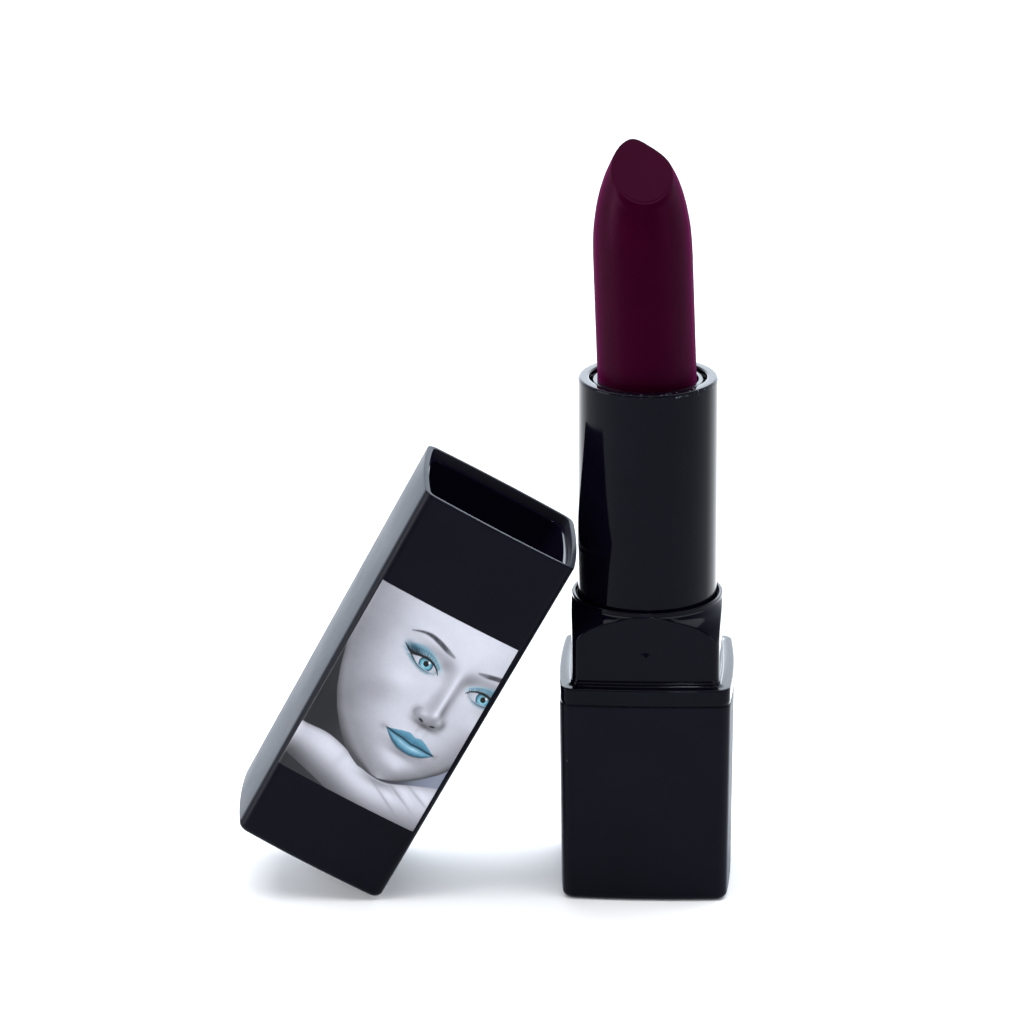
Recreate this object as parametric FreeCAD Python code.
import FreeCAD, Part
import math
import os

V = FreeCAD.Vector

# ---------------------------------------------------------------- dimensions
# every length in mm; origin at the centre of the base's underside, +Z up,
# -Y is the front of the case

# square section shared by base, band and cap (sides slightly bowed)
HALF = 10.78          # half width at the middle of a bowed side
SAG = 0.47            # how far a side bows out between its corners
CORNER = 1.50         # vertical corner radius
EDGE = 0.90           # rounding of the closed ends

# base
BASE_TOP = 25.50      # rotation seam
BASE_TAPER = 0.27     # half-width loss from seam to foot
BASE_WALL = 1.05
BASE_FLOOR = 1.30
LABEL_HALF = 6.20     # shade sticker recess in the foot
LABEL_DEEP = 0.25
LABEL_THICK = 0.12

# collar: band, plinth and neck in one moulding
BAND_BOTTOM = 25.62
BAND_TOP = 27.70
PLINTH_TOP = 28.15
PLINTH_HALF = 9.47
NECK_HALF = 9.30
NECK_SAG = 0.36
NECK_CORNER = 1.35
NECK_TOP = 37.10
RING_R = 9.30         # round ring lip at the neck's top
LIP_BORE = 8.86
BORE = 8.57
PIP_R = 1.27          # snap pips, front and back
PIP_H = 0.14
PIP_Z = 30.80

# outer sleeve
SLEEVE_R = 8.54
SLEEVE_BORE = 7.93
SLEEVE_TOP = 64.60
SLEEVE_LIP_R = 7.18
SLEEVE_LIP = 0.85
SLEEVE_BOTTOM = 26.40

# twist-up mechanism
TRAVEL = 31.00        # bullet travel
TURNS = 1.50          # turns for the whole travel
SPIRAL_IN = 7.30
SPIRAL_OUT = 7.90
SPIRAL_BOTTOM = 24.00
SPIRAL_TOP = 62.55
GROOVE_R = 7.74
GROOVE_H = 1.62
FORK_IN = 6.90
FORK_OUT = 7.25
FORK_SKIRT = 7.62
FORK_BOTTOM = 13.50
FORK_SHOULDER = 23.90
FORK_TOP = 63.55
FORK_BEAD = 7.60
SLOT_W = 1.50
LUG_R = 0.65
LUG_TIP = 7.66
LUG_Z = 57.40         # with the bullet fully up
CUP_OUT = 6.75
CUP_IN = 6.20
CUP_BOTTOM = 55.90
CUP_TOP = 64.25
CUP_FLOOR = 0.80

# bullet (stands a little out of true in its cup)
BULLET_R = 6.05
BULLET_LEAN = 2.05
BULLET_PIVOT = 61.00
BULLET_PROFILE = [(79.0, 6.05), (81.0, 6.02), (82.0, 5.98), (83.2, 5.90),
                  (84.5, 5.73), (87.0, 5.25), (89.5, 4.47), (92.0, 3.30),
                  (93.2, 2.62), (94.1, 2.09), (94.9, 1.53), (95.4, 1.03)]
BULLET_APEX = 95.75
FACET_POINT = (-0.62, -1.79, 90.40)
FACET_NORMAL = (0.085, -0.655, 0.751)
BACK_POINT = (-0.40, 0.50, 94.41)
BACK_NORMAL = (0.562, 0.580, 0.590)

# cap
CAP_HALF = 10.70
CAP_LEN = 49.40
CAP_TAPER = 0.40      # half-width loss from mouth to closed end
CAP_WALL = 0.72
CAP_TOP_WALL = 1.10
LINER_SETBACK = 1.10
LINER_HALF = 9.40
LINER_SAG = 0.36
LINER_CORNER = 1.45
LINER_DEPTH = 47.20
LINER_TAPER = 0.24     # half-width loss from its mouth to its floor
PRINT_NEAR = 12.30    # printed panel, measured from the mouth
PRINT_FAR = 39.25
PRINT_LEFT = -9.50
PRINT_RIGHT = 9.25
PRINT_THICK = 0.05

# where the cap leans: centre of its mouth and the turn that tips it over
CAP_MOUTH = V(-18.00, -0.58, 47.86)
CAP_TILT = 28.92      # about Y
CAP_LEAN = -1.94      # about X
CAP_SPIN = 2.65       # about the cap's own axis


# ---------------------------------------------------------------- helpers
def section_wire(half, sag, corner, z):
    h = half - sag
    r = (h * h + sag * sag) / (2.0 * sag)
    b = -2.0 * (half - r)
    c = (half - r) ** 2 - (r - corner) ** 2
    q = (-b + math.sqrt(b * b - 8.0 * c)) / 4.0
    th = math.atan2(q, q - (half - r))
    edges = []
    for k in range(4):
        a = k * math.pi / 2.0
        ca, sa = math.cos(a), math.sin(a)

        def pt(x, y):
            return V(x * ca - y * sa, x * sa + y * ca, z)

        def side(t):
            return pt(half - r + r * math.cos(t), r * math.sin(t))

        def turn(t):
            return pt(q + corner * math.cos(t), q + corner * math.sin(t))

        edges.append(Part.Arc(side(-th), side(0.0), side(th)).toShape())
        edges.append(Part.Arc(turn(th), turn(math.pi / 4.0),
                              turn(math.pi / 2.0 - th)).toShape())
    return Part.Wire(Part.__sortEdges__(edges))


def prism(half, sag, corner, z0, z1, half1=None):
    top = half if half1 is None else half1
    return Part.makeLoft([section_wire(half, sag, corner, z0),
                          section_wire(top, sag, corner, z1)], True, True)


def cyl(r, z0, z1):
    return Part.makeCylinder(r, z1 - z0, V(0, 0, z0))


def ring(r0, r1, z0, z1):
    return cyl(r1, z0, z1).cut(cyl(r0, z0 - 1.0, z1 + 1.0))


def revolve(points):
    pts = [V(x, 0, z) for x, z in points]
    pts.append(pts[0])
    face = Part.Face(Part.makePolygon(pts))
    return face.revolve(V(0, 0, 0), V(0, 0, 1), 360)


def level_edges(shape, z, tol=0.02):
    out = []
    for e in shape.Edges:
        b = e.BoundBox
        if abs(b.ZMin - z) < tol and abs(b.ZMax - z) < tol:
            out.append(e)
    return out


def outer_level(shape, z, reach):
    out = []
    for e in level_edges(shape, z):
        m = e.valueAt((e.FirstParameter + e.LastParameter) / 2.0)
        if math.hypot(m.x, m.y) > reach:
            out.append(e)
    return out


def half_space(point, normal, size=40.0):
    n = V(*normal)
    n.normalize()
    box = Part.makeBox(size, size, size, V(-size / 2, -size / 2, 0))
    rot = FreeCAD.Rotation(V(0, 0, 1), n)
    box.Placement = FreeCAD.Placement(V(*point), rot)
    return box


def one(shape):
    if shape.ShapeType == "Solid":
        return shape
    solids = sorted(shape.Solids, key=lambda s: s.Volume)
    return solids[-1]


os.makedirs("parts", exist_ok=True)


def save(shape, name):
    shape.exportStep("parts/" + name + ".step")


# ---------------------------------------------------------------- base shell
foot_half = HALF - BASE_TAPER
shell = prism(foot_half, SAG, CORNER, 0.0, BASE_TOP, HALF)
shell = shell.makeFillet(EDGE, outer_level(shell, 0.0, 5.0))
shell = shell.makeFillet(0.12, outer_level(shell, BASE_TOP, 5.0))
cavity = prism(foot_half - BASE_WALL, SAG, CORNER - 0.9, BASE_FLOOR,
               BASE_TOP + 0.01, HALF - BASE_WALL)
shell = shell.cut(cavity)
recess = Part.makeBox(2 * LABEL_HALF, 2 * LABEL_HALF, LABEL_DEEP,
                      V(-LABEL_HALF, -LABEL_HALF, 0))
recess = recess.makeFillet(1.2, [e for e in recess.Edges
                                 if abs(e.BoundBox.ZLength - LABEL_DEEP) < 1e-6])
shell = shell.cut(recess)
save(one(shell), "base_shell")

# shade sticker in the recess
side = LABEL_HALF - 0.15
label = Part.makeBox(2 * side, 2 * side, LABEL_THICK,
                     V(-side, -side, LABEL_DEEP - LABEL_THICK))
label = label.makeFillet(1.05, [e for e in label.Edges
                                if abs(e.BoundBox.ZLength - LABEL_THICK) < 1e-6])
save(label, "shade_label")

# ---------------------------------------------------------------- base insert
INSERT_TOP = 24.85
insert = prism(foot_half - BASE_WALL - 0.04, SAG, CORNER - 0.94, BASE_FLOOR,
               INSERT_TOP, HALF - BASE_WALL - 0.045)
insert = insert.cut(cyl(6.05, BASE_FLOOR - 1, 11.2))
insert = insert.cut(cyl(FORK_SKIRT - 0.9, 11.0, FORK_BOTTOM + 0.1))
insert = insert.cut(cyl(FORK_SKIRT + 0.02, FORK_BOTTOM, FORK_SHOULDER))
insert = insert.cut(cyl(SPIRAL_OUT + 0.22, FORK_SHOULDER - 0.4, INSERT_TOP + 1))
insert = insert.cut(ring(8.45, 9.15, INSERT_TOP - 0.35, INSERT_TOP + 1))
for sx in (-1, 1):
    for sy in (-1, 1):
        pocket = cyl(1.15, 2.8, INSERT_TOP - 2.0)
        pocket.translate(V(7.55 * sx, 7.55 * sy, 0))
        insert = insert.cut(pocket)
save(one(insert), "base_insert")

# slug that gives the base its heft
weight = cyl(6.00, BASE_FLOOR, 10.9)
weight = weight.makeChamfer(0.4, level_edges(weight, 10.9))
save(weight, "base_weight")

# soft ring that gives the twist its drag
drag = ring(8.50, 9.10, INSERT_TOP - 0.35, 25.56)
drag = drag.makeFillet(0.14, level_edges(drag, 25.56))
save(drag, "drag_ring")

# ---------------------------------------------------------------- fork
fork = revolve([(FORK_IN, FORK_BOTTOM), (FORK_SKIRT, FORK_BOTTOM),
                (FORK_SKIRT, FORK_SHOULDER), (FORK_OUT, FORK_SHOULDER),
                (FORK_OUT, SPIRAL_TOP + 0.12), (FORK_BEAD, SPIRAL_TOP + 0.12),
                (FORK_BEAD, SPIRAL_TOP + 0.52), (FORK_OUT, FORK_TOP),
                (FORK_IN, FORK_TOP)])
slot_low = LUG_Z - TRAVEL - LUG_R - 0.12
slot_high = LUG_Z + LUG_R + 0.12
for s in (-1, 1):
    slot = Part.makeBox(4.0, SLOT_W, slot_high - slot_low - SLOT_W,
                        V(0, -SLOT_W / 2, slot_low + SLOT_W / 2))
    if s > 0:
        slot.translate(V(5.5, 0, 0))
    else:
        slot.translate(V(-9.5, 0, 0))
    fork = fork.cut(slot)
    for zc in (slot_low + SLOT_W / 2, slot_high - SLOT_W / 2):
        end = Part.makeCylinder(SLOT_W / 2, 4.0, V(5.5 if s > 0 else -9.5, 0, zc),
                                V(1, 0, 0))
        fork = fork.cut(end)
save(one(fork), "fork")

# ---------------------------------------------------------------- spiral
pitch = TRAVEL / TURNS
spiral = ring(SPIRAL_IN, SPIRAL_OUT, SPIRAL_BOTTOM, SPIRAL_TOP)
over = 10.0                                   # degrees past each lug stop
start_z = LUG_Z - TRAVEL - pitch * over / 360.0
height = TRAVEL + 2.0 * pitch * over / 360.0
for start in (180.0, 0.0):
    helix = Part.makeHelix(pitch, height, SPIRAL_IN)
    x0, x1 = SPIRAL_IN - 0.6, GROOVE_R
    prof = Part.makePolygon([V(x0, 0, -GROOVE_H / 2), V(x1, 0, -GROOVE_H / 2),
                             V(x1, 0, GROOVE_H / 2), V(x0, 0, GROOVE_H / 2),
                             V(x0, 0, -GROOVE_H / 2)])
    sweep = Part.Wire(helix).makePipeShell([Part.Wire(prof)], True, True)
    sweep.rotate(V(0, 0, 0), V(0, 0, 1), start - over)
    sweep.translate(V(0, 0, start_z))
    spiral = spiral.cut(sweep)
save(one(spiral), "spiral_sleeve")

# ---------------------------------------------------------------- outer sleeve
sleeve = revolve([(SLEEVE_BORE, SLEEVE_BOTTOM), (SLEEVE_R, SLEEVE_BOTTOM),
                  (SLEEVE_R, SLEEVE_TOP - 0.26), (SLEEVE_R - 0.03, SLEEVE_TOP - 0.14),
                  (SLEEVE_R - 0.09, SLEEVE_TOP - 0.05), (SLEEVE_R - 0.24, SLEEVE_TOP),
                  (SLEEVE_LIP_R + 0.16, SLEEVE_TOP), (SLEEVE_LIP_R + 0.05, SLEEVE_TOP - 0.05),
                  (SLEEVE_LIP_R, SLEEVE_TOP - 0.18), (SLEEVE_LIP_R, SLEEVE_TOP - SLEEVE_LIP),
                  (SLEEVE_BORE, SLEEVE_TOP - SLEEVE_LIP)])
save(sleeve, "outer_sleeve")

# ---------------------------------------------------------------- collar
band = prism(HALF - 0.012, SAG, CORNER, BAND_BOTTOM, BAND_TOP, HALF)
band = band.makeFillet(0.22, outer_level(band, BAND_TOP, 5.0))
plinth = prism(PLINTH_HALF, NECK_SAG, NECK_CORNER + 0.1, BAND_TOP - 0.5, PLINTH_TOP)
plinth = plinth.makeFillet(0.10, outer_level(plinth, PLINTH_TOP, 5.0))
neck = prism(NECK_HALF, NECK_SAG, NECK_CORNER, BAND_TOP - 0.5, NECK_TOP)
flare = revolve([(0, BAND_TOP - 0.5), (13.2, BAND_TOP - 0.5), (13.2, 31.0),
                 (12.7, 32.4), (12.2, 33.6), (11.88, 34.35), (11.3, 35.05),
                 (10.68, 35.55), (9.85, 36.10), (9.60, 36.38), (9.50, 36.52),
                 (RING_R, 36.58), (RING_R, NECK_TOP - 0.10),
                 (RING_R - 0.05, NECK_TOP - 0.03), (RING_R - 0.13, NECK_TOP),
                 (0, NECK_TOP)])
neck = neck.common(flare)
body = band.fuse(plinth).fuse(neck)
pip_sphere = (PIP_R * PIP_R + PIP_H * PIP_H) / (2 * PIP_H)
for s in (-1, 1):
    pip = Part.makeSphere(pip_sphere, V(0, s * (NECK_HALF + PIP_H - pip_sphere), PIP_Z))
    keep = Part.makeBox(6, 1.2, 6, V(-3, s * NECK_HALF - 0.6 + s * 0.3, PIP_Z - 3))
    body = body.fuse(pip.common(keep))
body = body.cut(cyl(BORE, BAND_BOTTOM - 1, 36.0))
body = body.cut(cyl(LIP_BORE, 35.2, NECK_TOP + 1))
pocket = prism(NECK_HALF - 0.95, NECK_SAG, 0.8, BAND_BOTTOM - 1, 32.3)
pocket = pocket.cut(cyl(9.25, BAND_BOTTOM - 2, 34))
body = body.cut(pocket)
# ledge the outer sleeve stands on
ledge = ring(8.22, BORE + 0.2, BAND_BOTTOM + 0.02, SLEEVE_BOTTOM)
body = body.fuse(ledge)
body = body.removeSplitter()
save(one(body), "collar")

# ---------------------------------------------------------------- cup and bullet
cup = ring(CUP_IN, CUP_OUT, CUP_BOTTOM, CUP_TOP).fuse(
    cyl(CUP_IN + 0.1, CUP_BOTTOM, CUP_BOTTOM + CUP_FLOOR))
cup = cup.makeFillet(0.14, outer_level(cup, CUP_TOP, CUP_OUT - 0.1))
for s in (-1, 1):
    cup = cup.fuse(Part.makeCylinder(LUG_R, LUG_TIP - CUP_IN - 0.2,
                                     V(s * (CUP_IN + 0.2), 0, LUG_Z), V(s, 0, 0)))
for a in range(4):
    rib = Part.makeBox(0.35, 0.22, 3.4, V(CUP_IN - 0.33, -0.11, CUP_BOTTOM + CUP_FLOOR - 0.1))
    rib.rotate(V(0, 0, 0), V(0, 0, 1), 45 + 90 * a)
    cup = cup.fuse(rib)
hole = cyl(1.2, CUP_BOTTOM - 1, CUP_BOTTOM + CUP_FLOOR + 1)
cup = cup.cut(hole)
save(one(cup.removeSplitter()), "cup")

upper = [V(0, 0, BULLET_PIVOT - 0.6), V(BULLET_R, 0, BULLET_PIVOT - 0.6),
         V(BULLET_R, 0, BULLET_PROFILE[0][0])]
line = Part.makePolygon(upper)
curve = Part.BSplineCurve()
pts = [V(r, 0, z) for z, r in BULLET_PROFILE] + [V(0, 0, BULLET_APEX)]
curve.interpolate(Points=pts, InitialTangent=V(0, 0, 1), FinalTangent=V(-1, 0, 0))
edges = line.Edges + [curve.toShape(),
                      Part.makeLine(V(0, 0, BULLET_APEX), V(0, 0, BULLET_PIVOT - 0.6))]
face = Part.Face(Part.Wire(Part.__sortEdges__(edges)))
stick = face.revolve(V(0, 0, 0), V(0, 0, 1), 360)
stick = stick.common(cyl(20, BULLET_PIVOT - 0.6, 120))
stick.rotate(V(0, 0, BULLET_PIVOT), V(0, 1, 0), -BULLET_LEAN)
stick = stick.cut(half_space(FACET_POINT, FACET_NORMAL))
stick = stick.cut(half_space(BACK_POINT, BACK_NORMAL))
plug_top = BULLET_PIVOT + 0.35
plug = cyl(BULLET_R - 0.10, CUP_BOTTOM + CUP_FLOOR, plug_top)
for a in range(4):
    groove = Part.makeBox(0.60, 0.26, 3.5, V(CUP_IN - 0.40, -0.13, CUP_BOTTOM + CUP_FLOOR - 0.1))
    groove.rotate(V(0, 0, 0), V(0, 0, 1), 45 + 90 * a)
    plug = plug.cut(groove)
bullet = plug.fuse(stick)
save(one(bullet), "bullet")

# ---------------------------------------------------------------- cap
# built with its mouth at z = 0 and the closed end at -CAP_LEN
end_half = CAP_HALF - CAP_TAPER


def at_depth(d):
    return CAP_HALF - CAP_TAPER * d / CAP_LEN


cap = prism(end_half, SAG, CORNER, -CAP_LEN, 0.0, CAP_HALF)
cap = cap.makeFillet(EDGE, outer_level(cap, -CAP_LEN, 5.0))
cap = cap.makeFillet(0.14, outer_level(cap, 0.0, 5.0))
hollow_bottom = CAP_LEN - CAP_TOP_WALL
hollow = prism(at_depth(hollow_bottom) - CAP_WALL, SAG, CORNER - 0.62,
               -hollow_bottom, 0.01, CAP_HALF - CAP_WALL)
cap = cap.cut(hollow)

liner_low = LINER_DEPTH + 0.9
liner = prism(at_depth(liner_low) - CAP_WALL - 0.03, SAG, CORNER - 0.65,
              -liner_low, -LINER_SETBACK, at_depth(LINER_SETBACK) - CAP_WALL - 0.03)
liner = liner.cut(prism(LINER_HALF - LINER_TAPER, LINER_SAG, LINER_CORNER,
                        -LINER_DEPTH, -LINER_SETBACK + 0.01, LINER_HALF))
dish_z = -(PIP_Z - BAND_TOP - 0.05)
dish = pip_sphere + 0.10
for s in (-1, 1):
    liner = liner.cut(Part.makeSphere(dish, V(0, s * (LINER_HALF + PIP_H - 0.02 - dish), dish_z)))
film_out = prism(at_depth(PRINT_FAR) + PRINT_THICK + 0.01, SAG, CORNER,
                 -PRINT_FAR, -PRINT_NEAR, at_depth(PRINT_NEAR) + PRINT_THICK + 0.01)
film_in = prism(at_depth(PRINT_FAR + 1.0) + 0.01, SAG, CORNER,
                -PRINT_FAR - 1.0, -PRINT_NEAR + 1.0, at_depth(PRINT_NEAR - 1.0) + 0.01)
film = film_out.cut(film_in)
film = film.common(Part.makeBox(PRINT_RIGHT - PRINT_LEFT, 4.0, CAP_LEN,
                                V(PRINT_LEFT, -CAP_HALF - 2.0, -CAP_LEN)))

turn = FreeCAD.Rotation(V(1, 0, 0), CAP_LEAN).multiply(
    FreeCAD.Rotation(V(0, 1, 0), CAP_TILT)).multiply(
    FreeCAD.Rotation(V(0, 0, 1), CAP_SPIN))
place = FreeCAD.Placement(CAP_MOUTH, turn)
probe = cap.copy()
probe.Placement = place
low = probe.optimalBoundingBox(False, False).ZMin
place = FreeCAD.Placement(CAP_MOUTH - V(0, 0, low), turn)
for shape, name in ((cap, "cap_shell"), (liner, "cap_liner"), (film, "cap_print")):
    solid = one(shape)
    solid.Placement = place
    save(solid, name)
